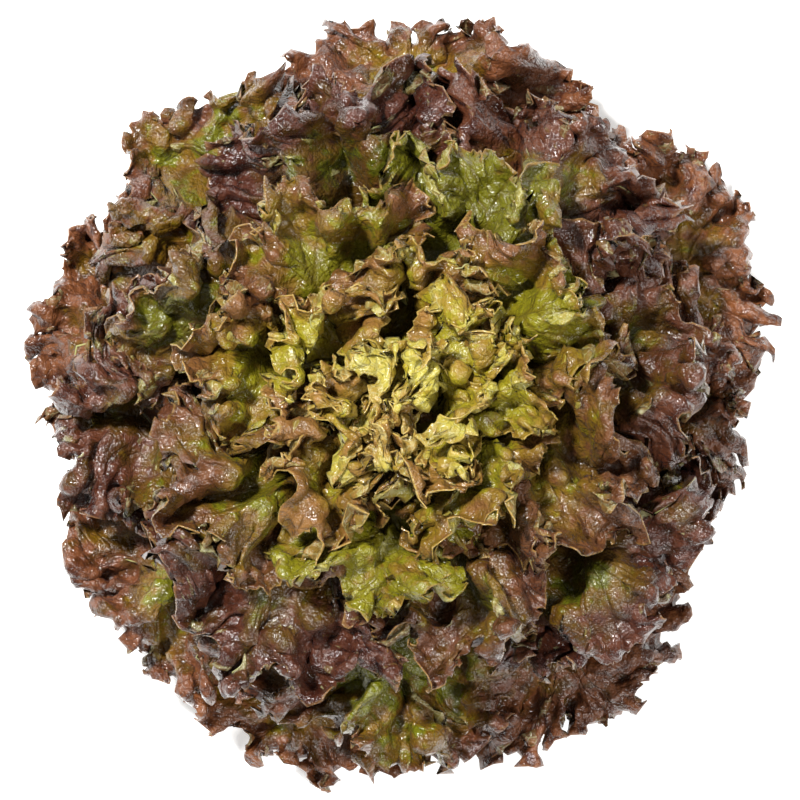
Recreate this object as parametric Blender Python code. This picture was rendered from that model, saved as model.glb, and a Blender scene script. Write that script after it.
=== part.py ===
"""A head of red loose-leaf lettuce, as cut, standing on its cut stem.

Every leaf is its own object. The leaves grow up the stem on a golden-angle spiral, the outermost
first. Each follows its own layer, a surface that leaves the stem, rises and arches outwards. The
layers nest without meeting, and they share deep radial folds, so a leaf frills up and down only
as far as the leaves above and below leave it room.

Sizes are in metres and angles in degrees unless a name says otherwise. +Z is up, and the origin
is the centre of the cut face of the stem.
"""

import math

import bmesh
import bpy
import numpy as np

# The head
LEAF_COUNT = 36
GOLDEN_ANGLE = 137.508
FIRST_LEAF_AZIMUTH = 250.0
AZIMUTH_JITTER = 6.0
SEED = 1107

# The stem: a cut butt that tapers to a core inside the head
STEM_CUT_RADIUS = 0.0130
STEM_WIDEST_RADIUS = 0.0160
STEM_WIDEST_HEIGHT = 0.0090
STEM_TIP_RADIUS = 0.0016
STEM_TIP_HEIGHT = 0.0620
STEM_CUT_BEVEL = 0.0012
STEM_SIDES = 24
STEM_CLEARANCE = 0.0005

# Pairs give the outermost and the innermost leaf, and the power that shapes the change between
BASE_HEIGHT = (0.0095, 0.0580, 1.0)
LAUNCH_ANGLE = (28.0, 89.0, 0.75)
LAUNCH_START = 0.10
BEND_ANGLE = (60.0, 25.0, 1.8)
LEAF_LENGTH = (0.1395, 0.0620, 1.3)
HALF_SPREAD = (37.0, 62.0, 2.5)
BASE_HALF_SPREAD = 25.0
LENGTH_VARIATION = 0.06

# The outline of a leaf, as shares of its length
WIDEST_AT = 0.64
PETIOLE_NARROWING = 4.5
MIDRIB_REACH = 0.80
VEIN_SWEEP = 1.25

# The deep folds that all the leaves share, as waves round the head, depth in layers, drift in
# radians from one layer to the next, and phase
SHARED_FOLDS = ((7, 1.4, 0.10, 0.0), (15, 1.3, -0.10, 2.0))
FOLD_WANDER = 1.3
FOLD_WANDER_WAVES = 3
FOLD_FULL_AT = 0.085
FOLD_GROWTH = 1.4
FOLD_LIMIT = 1.3
FOLD_AT_OUTERMOST = 0.45
FOLD_WHOLE_AT_LAYER = 10.0

# The tops of the innermost leaves are drawn together over the end of the stem, most at the axis
HEART_GATHER = 0.0060
HEART_GATHER_WIDTH = 0.0100
HEART_GATHER_HEIGHTS = (0.065, 0.110)

# No leaf reaches under this height: lower points are pressed together just above it
LOWEST_POINT = 0.0015
FLOOR_SOFTNESS = 0.0060

# The frilled margin, in layers: 1 is the distance from one leaf to the next
FRILL_AT_TIP = 1.35
FRILL_AT_SIDE = (1.10, 0.80, 1.0)
FRILL_START = 0.20
FRILL_GROWTH = 1.25
SMALLEST_CREST = 0.55
CREST_JITTER = 0.20
LOBE_DEPTH = 0.09
LARGE_LOBE_DEPTH = 0.06
LARGE_LOBES = 5
UNDULATION = (0.20, 0.10, 1.0)
UNDULATION_WAVES = (2, 3)

# Thickness of the blade and of the midrib where it leaves the stem
BLADE_THICKNESS = (0.0009, 0.0008, 1.0)
RIB_THICKNESS = (0.0028, 0.0010, 0.6)
RIB_HALF_WIDTH = 0.18

# Margin segments, rows of points from the midrib to the margin, and colour, for each tier
TIERS = {
    "outer": {"leaves": 14, "segments": 40, "colour": (0.147, 0.072, 0.027), "roughness": 0.45},
    "middle": {"leaves": 12, "segments": 36, "colour": (0.188, 0.105, 0.025), "roughness": 0.42},
    "heart": {"leaves": 10, "segments": 28, "colour": (0.400, 0.285, 0.053), "roughness": 0.40},
}
ROWS = ((0.0, 3), (0.45, 2), (0.75, 1), (1.0, 1))
STEM_COLOUR = (0.62, 0.60, 0.38)


def between(limits, share):
    """The value of a (first, last, power) triple at a share of the way in, also a little past it."""
    first, last, power = limits
    return first + (last - first) * np.sign(share) * np.abs(share) ** power


def launch_angle(share):
    """Angle above the floor at which a leaf leaves the stem, evened out among the outermost."""
    low, high = LAUNCH_START ** LAUNCH_ANGLE[2], (1 + LAUNCH_START) ** LAUNCH_ANGLE[2]
    raised = between((0.0, 1.0, LAUNCH_ANGLE[2]), share + LAUNCH_START)
    return between((LAUNCH_ANGLE[0], LAUNCH_ANGLE[1], 1.0), (raised - low) / (high - low))


def stem_radius(height):
    """Radius of the tapering stem at a height above its widest point."""
    share = (height - STEM_WIDEST_HEIGHT) / (STEM_TIP_HEIGHT - STEM_WIDEST_HEIGHT)
    return STEM_WIDEST_RADIUS + (STEM_TIP_RADIUS - STEM_WIDEST_RADIUS) * share


def on_layer(layer, distance, turn):
    """The point at a distance up a layer's surface from the stem, turned about Z, in radians."""
    share = layer / (LEAF_COUNT - 1)
    base_height = between(BASE_HEIGHT, share)
    base_radius = stem_radius(base_height) + STEM_CLEARANCE + between(RIB_THICKNESS, share) / 2
    launch = np.radians(launch_angle(share))
    curvature = np.radians(between(BEND_ANGLE, share)) / between(LEAF_LENGTH, share)
    angle = launch - curvature * distance
    radius = base_radius + (np.sin(launch) - np.sin(angle)) / curvature
    height = base_height + (np.cos(angle) - np.cos(launch)) / curvature
    height = above_floor(height)
    radius = gathered(radius, height)
    return np.stack([radius * np.cos(turn), radius * np.sin(turn), height], axis=-1)


def above_floor(height):
    """A height eased so that it never comes under the lowest point; it keeps heights in order."""
    over = (height - LOWEST_POINT) / FLOOR_SOFTNESS
    return LOWEST_POINT + FLOOR_SOFTNESS * np.logaddexp(0.0, over)


def gathered(radius, height):
    """A radius drawn in towards the axis near the top of the head; it keeps radii in order."""
    low, high = HEART_GATHER_HEIGHTS
    share = np.clip((height - low) / (high - low), 0.0, 1.0)
    amount = HEART_GATHER * share**2 * (3 - 2 * share)
    return radius - amount * np.exp(-radius / HEART_GATHER_WIDTH)


def folded(layer, distance, turn):
    """The layer shifted by the folds that all leaves share, which deepen away from the stem."""
    wander = FOLD_WANDER_WAVES * turn
    shift = sum(
        depth * np.sin(waves * turn + drift * layer + phase + FOLD_WANDER * np.sin(wander + phase))
        for waves, depth, drift, phase in SHARED_FOLDS
    )
    growth = np.clip(distance / FOLD_FULL_AT, 0.0, FOLD_LIMIT) ** FOLD_GROWTH
    calm = FOLD_AT_OUTERMOST + (1 - FOLD_AT_OUTERMOST) * np.clip(layer / FOLD_WHOLE_AT_LAYER, 0.0, 1.0)
    return layer + shift * growth * calm


class Leaf:
    """One leaf: its place on the stem, its outline and the frill of its margin."""

    def __init__(self, number, segments):
        self.layer = number
        self.share = number / (LEAF_COUNT - 1)
        self.segments = segments
        draw = np.random.default_rng(SEED + number)
        jitter = draw.uniform(-AZIMUTH_JITTER, AZIMUTH_JITTER)
        self.azimuth = math.radians(FIRST_LEAF_AZIMUTH + number * GOLDEN_ANGLE + jitter)
        stretch = 1 + draw.uniform(-LENGTH_VARIATION, LENGTH_VARIATION)
        self.length = between(LEAF_LENGTH, self.share) * stretch
        self.half_spread = math.radians(between(HALF_SPREAD, self.share))
        signs = np.where(np.arange(segments + 1) % 2, -1.0, 1.0)
        self.crests = signs * draw.uniform(SMALLEST_CREST, 1.0, segments + 1)
        self.crest_shift = draw.uniform(-CREST_JITTER, CREST_JITTER, segments + 1)
        self.crest_shift[[0, -1]] = 0.0
        self.lobes = 1 + draw.uniform(-LOBE_DEPTH, LOBE_DEPTH, segments + 1)
        self.phases = draw.uniform(0, 2 * math.pi, len(UNDULATION_WAVES))
        self.turns = self.even_turns()

    def outline(self, turn):
        """Sideways angle about the stem and distance up the leaf of the margin, where turn runs
        from -pi at the left of the base through 0 at the tip to pi at the right of the base."""
        blade = self.half_spread * np.sin(turn)
        foot = math.radians(BASE_HALF_SPREAD)
        narrow = foot + (self.half_spread - foot) * np.abs(np.sin(turn)) ** PETIOLE_NARROWING
        below = np.abs(turn) > math.pi / 2
        sideways = np.where(below, np.sign(turn) * narrow, blade)
        above = WIDEST_AT + (1 - WIDEST_AT) * np.cos(turn)
        along = np.where(below, WIDEST_AT * (1 + np.cos(turn)), above) * self.length
        return sideways, along

    def even_turns(self):
        """The turn at each crest and trough of the margin, so that they are evenly spaced."""
        turn = np.linspace(-math.pi, math.pi, 721)
        sideways, along = self.outline(turn)
        places = on_layer(self.layer, along, sideways)
        steps = np.linalg.norm(np.diff(places, axis=0), axis=1)
        walked = np.concatenate([[0.0], np.cumsum(steps)])
        wanted = (np.arange(self.segments + 1) + self.crest_shift) / self.segments
        return np.interp(wanted * walked[-1], walked, turn)

    def place(self, crest, row):
        """The point of the leaf at a crest of the margin and a share of the way out to it."""
        turn = self.turns[crest]
        reach = self.lobes[crest] if 0 < crest < self.segments else 1.0
        reach += LARGE_LOBE_DEPTH * math.sin(LARGE_LOBES * turn + self.phases[0])
        sideways, along = self.outline(turn)
        vein_foot = MIDRIB_REACH * self.length * ((1 + math.cos(turn)) / 2) ** VEIN_SWEEP
        out = row * (1 + (reach - 1) * row)
        sideways = sideways * out
        along = vein_foot + (along - vein_foot) * out
        rise = max(0.0, (row - FRILL_START) / (1 - FRILL_START)) ** FRILL_GROWTH
        side = abs(math.sin(turn))
        frill = FRILL_AT_TIP + (between(FRILL_AT_SIDE, self.share) - FRILL_AT_TIP) * side
        waves = [
            math.sin(waves * turn + phase) for waves, phase in zip(UNDULATION_WAVES, self.phases)
        ]
        swell = between(UNDULATION, self.share) * sum(waves) / len(waves) * row**2
        layer = self.layer + frill * rise * self.crests[crest] + swell
        layer = folded(layer, along, self.azimuth + sideways)
        return on_layer(layer, along, self.azimuth + sideways)

    def thickness(self, crest, row):
        """Thickness of the leaf there: thick along the midrib near the stem, thin in the blade."""
        share_up = (1 + math.cos(self.turns[crest])) / 2
        rib = between(RIB_THICKNESS, self.share) * (1 - share_up) ** 1.5
        blade = between(BLADE_THICKNESS, self.share)
        return max(blade, rib * math.exp(-((row / RIB_HALF_WIDTH) ** 2)))


def strip(first, second):
    """Triangles between two rows of (share along, vertex) pairs that start and end together."""
    faces = []
    i = j = 0
    while i < len(first) - 1 or j < len(second) - 1:
        ahead = first[i + 1][0] if i < len(first) - 1 else math.inf
        beside = second[j + 1][0] if j < len(second) - 1 else math.inf
        if ahead <= beside:
            faces.append((first[i][1], first[i + 1][1], second[j][1]))
            i += 1
        else:
            faces.append((first[i][1], second[j + 1][1], second[j][1]))
            j += 1
    return faces


def leaf_sheet(leaf):
    """The middle surface of a leaf, as points, thicknesses and triangles."""
    points, thicknesses, faces = [], [], []
    last = leaf.segments
    rows = []
    for row, step in ROWS:
        crests = list(range(0, last, step)) + [last]
        if row == 0.0:
            half = [c for c in crests if c <= last // 2]
            shared = {c: len(points) + k for k, c in enumerate(half)}
            line = [(c, shared[c]) for c in half] + [(last - c, shared[c]) for c in half[-2::-1]]
            new = half
        else:
            line = [(c, len(points) + k) for k, c in enumerate(crests)]
            new = crests
        points += [leaf.place(c, row) for c in new]
        thicknesses += [leaf.thickness(c, row) for c in new]
        rows.append(line)
    for inner, outer in zip(rows, rows[1:]):
        faces += strip(inner, outer)
    return points, thicknesses, faces


def new_material(name, colour, roughness):
    """A plain Principled material."""
    material = bpy.data.materials.new(name)
    material.use_nodes = True
    shader = material.node_tree.nodes["Principled BSDF"]
    shader.inputs["Base Color"].default_value = (*colour, 1.0)
    shader.inputs["Roughness"].default_value = roughness
    shader.inputs["Metallic"].default_value = 0.0
    return material


def add_object(name, mesh, material):
    """Puts a mesh in the scene under a name, with its material."""
    obj = bpy.data.objects.new(name, mesh)
    bpy.context.scene.collection.objects.link(obj)
    mesh.materials.append(material)
    return obj


def make_leaf(name, leaf, material):
    """A leaf as a thin closed solid: its middle surface, given thickness by Solidify."""
    points, thicknesses, faces = leaf_sheet(leaf)
    mesh = bpy.data.meshes.new(name)
    mesh.from_pydata([tuple(p) for p in points], [], faces)
    mesh.shade_smooth()
    obj = add_object(name, mesh, material)
    thickest = max(thicknesses)
    group = obj.vertex_groups.new(name="thickness")
    for index, thickness in enumerate(thicknesses):
        group.add([index], thickness / thickest, "REPLACE")
    solidify = obj.modifiers.new("thickness", "SOLIDIFY")
    solidify.thickness = thickest
    solidify.offset = 0.0
    solidify.use_quality_normals = True
    solidify.vertex_group = group.name
    solidify.thickness_vertex_group = 0.0
    return obj


def make_stem(material):
    """The stem, a turned solid: flat cut face, bevelled edge, widest point, tapering core."""
    profile = [
        (0.0, 0.0),
        (STEM_CUT_RADIUS - STEM_CUT_BEVEL, 0.0),
        (STEM_CUT_RADIUS, STEM_CUT_BEVEL),
        (STEM_WIDEST_RADIUS, STEM_WIDEST_HEIGHT),
        (stem_radius(0.035), 0.035),
        (STEM_TIP_RADIUS, STEM_TIP_HEIGHT),
        (0.0, STEM_TIP_HEIGHT + STEM_TIP_RADIUS / 2),
    ]
    shape = bmesh.new()
    verts = [shape.verts.new((radius, 0.0, height)) for radius, height in profile]
    edges = [shape.edges.new(pair) for pair in zip(verts, verts[1:])]
    bmesh.ops.spin(
        shape,
        geom=verts + edges,
        cent=(0, 0, 0),
        axis=(0, 0, 1),
        angle=2 * math.pi,
        steps=STEM_SIDES,
        use_merge=True,
    )
    bmesh.ops.remove_doubles(shape, verts=shape.verts, dist=1e-6)
    bmesh.ops.recalc_face_normals(shape, faces=shape.faces)
    mesh = bpy.data.meshes.new("stem")
    shape.to_mesh(mesh)
    shape.free()
    mesh.shade_smooth()
    mesh.set_sharp_from_angle(angle=math.radians(40))
    return add_object("stem", mesh, material)


def main():
    """Clears the scene and grows the stem and its leaves."""
    for obj in list(bpy.data.objects):
        bpy.data.objects.remove(obj)
    make_stem(new_material("pale_stem", STEM_COLOUR, 0.5))
    number = 0
    for tier, facts in TIERS.items():
        material = new_material(f"{tier}_leaf", facts["colour"], facts["roughness"])
        for position in range(facts["leaves"]):
            leaf = Leaf(number, facts["segments"])
            make_leaf(f"{tier}_leaf_{position + 1:02d}", leaf, material)
            number += 1


main()
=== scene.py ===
"""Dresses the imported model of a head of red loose-leaf lettuce, seen straight from above.

Each leaf solid is replaced by a fine blade of the same form: the same place on the stem, the same
outline and the same crests along its margin, with the smaller frills, teeth and blisters that the
solid leaves out. Raised veins follow every blade, and the stem gets its leaf scars and its cut.
"""

import logging
import math
from collections.abc import Iterator
from dataclasses import dataclass, field
from enum import Enum

import bpy
import numpy as np
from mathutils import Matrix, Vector

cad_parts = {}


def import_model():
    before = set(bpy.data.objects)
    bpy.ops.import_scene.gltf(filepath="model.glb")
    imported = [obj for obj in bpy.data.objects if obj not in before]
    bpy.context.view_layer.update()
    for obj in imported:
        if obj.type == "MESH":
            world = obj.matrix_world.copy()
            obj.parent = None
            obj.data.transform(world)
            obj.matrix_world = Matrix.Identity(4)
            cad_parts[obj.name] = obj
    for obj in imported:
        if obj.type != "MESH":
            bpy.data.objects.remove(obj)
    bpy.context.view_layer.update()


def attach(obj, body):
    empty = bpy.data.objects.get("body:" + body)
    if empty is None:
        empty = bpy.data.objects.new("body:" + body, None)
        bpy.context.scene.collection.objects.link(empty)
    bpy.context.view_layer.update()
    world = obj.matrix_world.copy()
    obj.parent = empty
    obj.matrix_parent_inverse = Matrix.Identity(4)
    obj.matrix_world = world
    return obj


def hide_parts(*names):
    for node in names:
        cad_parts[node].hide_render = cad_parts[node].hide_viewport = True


LOG = logging.getLogger("lettuce")
BODY = "root"

Array = np.ndarray
Limits = tuple[float, float, float]
Corner = tuple[int, float, int]
Inputs = dict | tuple
Weights = tuple[tuple[str, float], ...]
Parts = dict[str, bpy.types.Node | bpy.types.NodeSocket]


class Tier(Enum):
    """The three kinds of leaf, from the outside in, by the names that the solids use."""

    OUTER = "outer"
    MIDDLE = "middle"
    HEART = "heart"


@dataclass(frozen=True)
class TierPlan:
    """How many leaves a tier has, and how finely they are drawn.

    Args:
        leaves: number of leaves in the tier.
        segments: crests and troughs along a margin, as in the solids.
        columns: points along the margin for each segment.
    """

    leaves: int
    segments: int
    columns: int


TIERS = {
    Tier.OUTER: TierPlan(leaves=14, segments=40, columns=16),
    Tier.MIDDLE: TierPlan(leaves=12, segments=36, columns=16),
    Tier.HEART: TierPlan(leaves=10, segments=28, columns=16),
}

# How much greener than others of their age some leaves are, by their number from the outermost:
# 1 takes most of the red away, and below 0 a leaf is redder
GREENER_LEAVES = {
    0: 0.20, 7: 0.45, 8: 0.60, 15: 0.45, 17: 1.10, 21: 1.20, 22: 0.30,
    24: 0.45, 26: -0.40, 27: 0.40, 29: -0.30, 30: 0.40, 32: 0.40, 35: 0.30,
}

# Rows of points from the midrib to the margin, in bands: where a band starts and ends as a share of
# the way, how many rows it has, and how many columns a row strides over
ROW_BANDS = ((0.0, 0.38, 4, 8), (0.38, 0.58, 3, 4), (0.58, 0.80, 5, 2), (0.80, 1.0, 5, 1))


def between(limits: Limits, share: float | Array) -> float | Array:
    """Reads a (first, last, power) triple.

    Args:
        limits: value at the outermost leaf, value at the innermost, and power of the change.
        share: share of the way in, which may pass 0 or 1 a little.

    Returns:
        The value there.
    """
    first, last, power = limits
    return first + (last - first) * np.sign(share) * np.abs(share) ** power


def eased(value: Array, start: float, end: float) -> Array:
    """Rises smoothly from 0 at start to 1 at end.

    Args:
        value: where to read it.
        start: value at which it starts to rise.
        end: value at which it reaches 1.

    Returns:
        The eased share, 0 to 1.
    """
    share = np.clip((value - start) / (end - start), 0.0, 1.0)
    return share * share * (3.0 - 2.0 * share)


def ripples(points: Array, wavelength: float, seed: int, waves: int = 14) -> Array:
    """Adds up plane waves of random direction, as a smooth seeded unevenness in space.

    Args:
        points: places in metres, the last axis being x, y and z.
        wavelength: typical distance from crest to crest, in metres.
        seed: seed of the directions and phases.
        waves: how many waves are added.

    Returns:
        One value for each point, mostly between -1.5 and 1.5.
    """
    draw = np.random.default_rng(seed)
    directions = draw.normal(size=(waves, 3))
    directions /= np.linalg.norm(directions, axis=1)[:, None]
    turns = directions * (2 * math.pi / wavelength) * draw.uniform(0.7, 1.4, (waves, 1))
    phases = draw.uniform(0, 2 * math.pi, waves)
    return np.sin(points @ turns.T + phases).sum(-1) / math.sqrt(waves / 2)


def spaced_rows() -> list[tuple[float, int]]:
    """Lays out the rows from the midrib to the margin, closer together towards the margin.

    Returns:
        For each row, its share of the way out, and how many columns it strides over.
    """
    return [
        (start + (end - start) * step / steps, stride)
        for start, end, steps, stride in ROW_BANDS
        for step in range(steps)
    ]


@dataclass(frozen=True)
class HeadForm:
    """The form that all leaves share: the stem and the nested, folded layers round it.

    Values are in metres and degrees, and triples give the outermost and the innermost leaf, and the
    power that shapes the change between them. They are those of the solids, but for some that only
    the fine blades have: the third of the shared folds, which fade near the axis; the sways; the
    eased top; the longer leaves of the heart; and a clearance that lets them join the stem.
    """

    leaf_count: int = 36
    golden_angle: float = 137.508
    first_azimuth: float = 250.0
    azimuth_jitter: float = 6.0
    seed: int = 1107

    stem_widest_radius: float = 0.0160
    stem_widest_height: float = 0.0090
    stem_tip_radius: float = 0.0016
    stem_tip_height: float = 0.0620
    stem_clearance: float = -0.0004

    base_height: Limits = (0.0095, 0.0580, 1.0)
    launch_angle: Limits = (28.0, 89.0, 0.75)
    launch_start: float = 0.10
    bend_angle: Limits = (60.0, 25.0, 1.8)
    leaf_length: Limits = (0.1395, 0.0620, 1.3)
    half_spread: Limits = (37.0, 62.0, 2.5)
    base_half_spread: float = 25.0
    length_variation: float = 0.06
    heart_growth: float = 0.03
    blade_thickness: Limits = (0.0009, 0.0008, 1.0)
    rib_thickness: Limits = (0.0028, 0.0010, 0.6)
    rib_half_width: float = 0.18
    rib_taper: float = 1.5

    shared_folds: tuple[tuple[float, float, float, float], ...] = (
        (7, 1.4, 0.10, 0.0),
        (15, 1.3, -0.10, 2.0),
        (27, 1.0, 0.12, 4.0),
    )
    fold_wander: float = 1.3
    fold_wander_waves: int = 3
    fold_full_at: float = 0.085
    fold_growth: float = 1.4
    fold_limit: float = 1.3
    fold_at_outermost: float = 0.45
    fold_whole_at_layer: float = 10.0
    fold_free_radii: tuple[float, float] = (0.008, 0.034)

    lowest_point: float = 0.0015
    floor_softness: float = 0.0060

    gather: float = 0.0060
    gather_width: float = 0.0100
    gather_heights: tuple[float, float] = (0.065, 0.110)

    sways: tuple[tuple[float, float, int], ...] = ((0.0030, 0.075, 50), (0.0030, 0.032, 60))
    sway_waves: int = 10
    sway_from: tuple[float, float] = (0.03, 0.09)
    sway_less_from: tuple[float, float] = (0.105, 0.150)
    sway_kept_outside: float = 0.35
    heart_sway: tuple[float, float, int] = (0.0024, 0.018, 90)
    heart_heights: tuple[float, float] = (0.070, 0.095)
    heart_radii: tuple[float, float] = (0.022, 0.050)
    highest_point: float = 0.1268
    top_softness: float = 0.0060

    def launch(self, share: float | Array) -> float | Array:
        """Angle above the floor at which a leaf leaves the stem, in radians."""
        first, last, power = self.launch_angle
        low, high = self.launch_start**power, (1 + self.launch_start) ** power
        raised = (between((0.0, 1.0, power), share + self.launch_start) - low) / (high - low)
        return np.radians(first + (last - first) * raised)

    def stem_radius(self, height: float | Array) -> float | Array:
        """Radius of the tapering stem at a height above its widest point, in metres."""
        rise = self.stem_tip_height - self.stem_widest_height
        share = (height - self.stem_widest_height) / rise
        return self.stem_widest_radius + (self.stem_tip_radius - self.stem_widest_radius) * share

    def above_floor(self, height: Array) -> Array:
        """Eases heights so that none comes under the lowest point, and keeps their order."""
        over = (height - self.lowest_point) / self.floor_softness
        return self.lowest_point + self.floor_softness * np.logaddexp(0.0, over)

    def gathered(self, radius: Array, height: Array) -> Array:
        """Draws the tops of the innermost leaves together over the end of the stem.

        Args:
            radius: distances from the axis, in metres.
            height: heights of the same points, in metres.

        Returns:
            The distances, less what they are drawn in; their order stays.
        """
        amount = self.gather * eased(height, *self.gather_heights)
        return radius - amount * np.exp(-radius / self.gather_width)

    def folded(self, layer: Array, distance: Array, turn: Array) -> Array:
        """Shifts a layer by the folds that all leaves share, which deepen away from the stem.

        Args:
            layer: layer before the folds, 0 at the outermost leaf.
            distance: distance up the layer from the stem, in metres.
            turn: angle about the stem, in radians.

        Returns:
            The shifted layer.
        """
        wander, bend = self.fold_wander_waves * turn, self.fold_wander
        shift = sum(
            depth * np.sin(waves * turn + drift * layer + phase + bend * np.sin(wander + phase))
            for waves, depth, drift, phase in self.shared_folds
        )
        growth = np.clip(distance / self.fold_full_at, 0.0, self.fold_limit) ** self.fold_growth
        whole = np.clip(layer / self.fold_whole_at_layer, 0.0, 1.0)
        growth = growth * (self.fold_at_outermost + (1 - self.fold_at_outermost) * whole)
        place = self.on_layer(layer, distance, turn)
        growth = growth * eased(np.hypot(place[..., 0], place[..., 1]), *self.fold_free_radii)
        return layer + shift * growth

    def on_layer(self, layer: Array, distance: Array, turn: Array) -> Array:
        """Finds a point of a layer's surface.

        Args:
            layer: which layer, 0 at the outermost leaf; it need not be whole.
            distance: distance up the layer from the stem, in metres.
            turn: angle about the stem, in radians.

        Returns:
            The point, in metres.
        """
        share = layer / (self.leaf_count - 1)
        base_height = between(self.base_height, share)
        base_radius = self.stem_radius(base_height) + self.stem_clearance
        base_radius = base_radius + between(self.rib_thickness, share) / 2
        launch = self.launch(share)
        bend = np.maximum(np.radians(between(self.bend_angle, share)), 1e-3)
        curvature = bend / between(self.leaf_length, share)
        angle = launch - curvature * distance
        radius = base_radius + (np.sin(launch) - np.sin(angle)) / curvature
        height = self.above_floor(base_height + (np.cos(angle) - np.cos(launch)) / curvature)
        radius = self.gathered(radius, height)
        return np.stack([radius * np.cos(turn), radius * np.sin(turn), height], axis=-1)

    def sway(self, points: Array, amount: float, wavelength: float, seed: int) -> Array:
        """Shift of each point in a smooth seeded unevenness of the given size, in metres."""
        shifts = [ripples(points, wavelength, seed + axis, self.sway_waves) for axis in range(3)]
        return amount * np.stack(shifts, axis=-1)

    def swayed(self, points: Array) -> Array:
        """Shifts points by a slow unevenness of the head, none of it at the stem.

        Args:
            points: places in metres.

        Returns:
            The places, shifted most in the middle ring and in the heart, within the head's height.
        """
        radius = np.hypot(points[..., 0], points[..., 1])
        outside = eased(radius, *self.sway_less_from)
        free = eased(radius + points[..., 2], *self.sway_from)
        free = free * (1 - (1 - self.sway_kept_outside) * outside)
        for sway in self.sways:
            points = points + free[..., None] * self.sway(points, *sway)
        inside = eased(points[..., 2], *self.heart_heights) * (1 - eased(radius, *self.heart_radii))
        points = points + inside[..., None] * self.sway(points, *self.heart_sway)
        return self.within_heights(points)

    def within_heights(self, points: Array) -> Array:
        """Eases points between the floor and the highest point, and keeps their order."""
        under = (self.highest_point - self.above_floor(points[..., 2])) / self.top_softness
        height = self.highest_point - self.top_softness * np.logaddexp(0.0, under)
        return np.concatenate([points[..., :2], height[..., None]], axis=-1)


def room(points: Array, full_at: float) -> Array:
    """Share of a full frill that there is room for at each point, less near the axis.

    Args:
        points: places in metres.
        full_at: distance from the axis at which a frill is whole, in metres.

    Returns:
        The shares, 0.2 to 1.
    """
    return np.clip(np.hypot(points[..., 0], points[..., 1]) / full_at, 0.2, 1.0)


def up_and_in(points: Array) -> Array:
    """Direction up and towards the stem at each point, which a leaf's upper side mostly faces."""
    reach = np.maximum(np.hypot(points[:, 0], points[:, 1]), 1e-6)
    return np.stack([-points[:, 0] / reach, -points[:, 1] / reach, np.ones(len(points))], axis=-1)


@dataclass(frozen=True)
class FrillForm:
    """The frills, teeth and blisters of a blade, in metres unless a name says layers.

    One crest of the solid's margin is the unit of the numbers of ruffles, scallops and teeth, and
    of the length of the slow waves. Large frills stand on the crests, ruffles ride on them near the
    margin, and blisters and crinkles pucker the blade between its veins.
    """

    at_tip: Limits = (0.0060, 0.0062, 1.0)
    at_side: Limits = (0.0058, 0.0050, 1.0)
    start: float = 0.24
    growth: float = 1.2
    slow_height: Limits = (0.0045, 0.0025, 1.0)
    slow_length: float = 5.3
    slow_reach: tuple[float, float] = (0.04, 0.50)
    slow_wander: float = 1.2
    ridge_bend: float = 0.85
    steepness: float = 1.5
    whole_at: float = 0.022
    roll_growth: float = 2.5
    roll_layers: tuple[tuple[float, float], ...] = ((0.0, 0.3), (0.4, 0.9), (0.75, 0.7), (1.0, -2.4))
    smallest_crest: float = 0.55
    crest_jitter: float = 0.20
    overhang: Limits = (0.72, 0.92, 1.0)
    lean: float = 0.035

    lobe_depth: float = 0.09
    large_lobe_depth: float = 0.06
    large_lobes: int = 5
    undulation_layers: Limits = (0.5, 0.3, 1.0)
    undulation_waves: tuple[int, int] = (2, 3)

    ruffles: Limits = (1.45, 0.80, 1.0)
    ruffle_height: Limits = (0.0036, 0.0022, 1.0)
    ruffle_curl: Limits = (0.0011, 0.0008, 1.0)
    ruffle_start: float = 0.48
    ruffle_growth: float = 1.3
    ruffle_wander: float = 1.4

    scallops: float = 1.45
    scallop_depth: Limits = (0.0036, 0.0014, 1.0)
    scallop_roundness: float = 0.8
    scallop_wander: float = 0.45
    teeth: float = 3.1
    tooth_wander: float = 0.5
    teeth_from: float = 0.84
    tooth_depth: Limits = (0.0019, 0.0006, 1.0)

    blister_height: Limits = (0.0017, 0.0011, 1.0)
    blister_width: float = 0.0150
    crinkle_height: float = 0.0009
    crinkle_width: float = 0.0075
    puckered_from: tuple[float, float] = (0.03, 0.25)
    free_from: tuple[float, float] = (0.05, 0.35)

    margin_thickness: float = 0.00045
    middle_thinning: float = 0.85
    thinner_from: float = 0.6


@dataclass(frozen=True)
class LeafOutline:
    """The outline of a leaf, as shares of its length, and the powers that shape it."""

    widest_at: float = 0.64
    petiole_narrowing: float = 4.5
    midrib_reach: float = 0.80
    vein_sweep: float = 1.25


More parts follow.
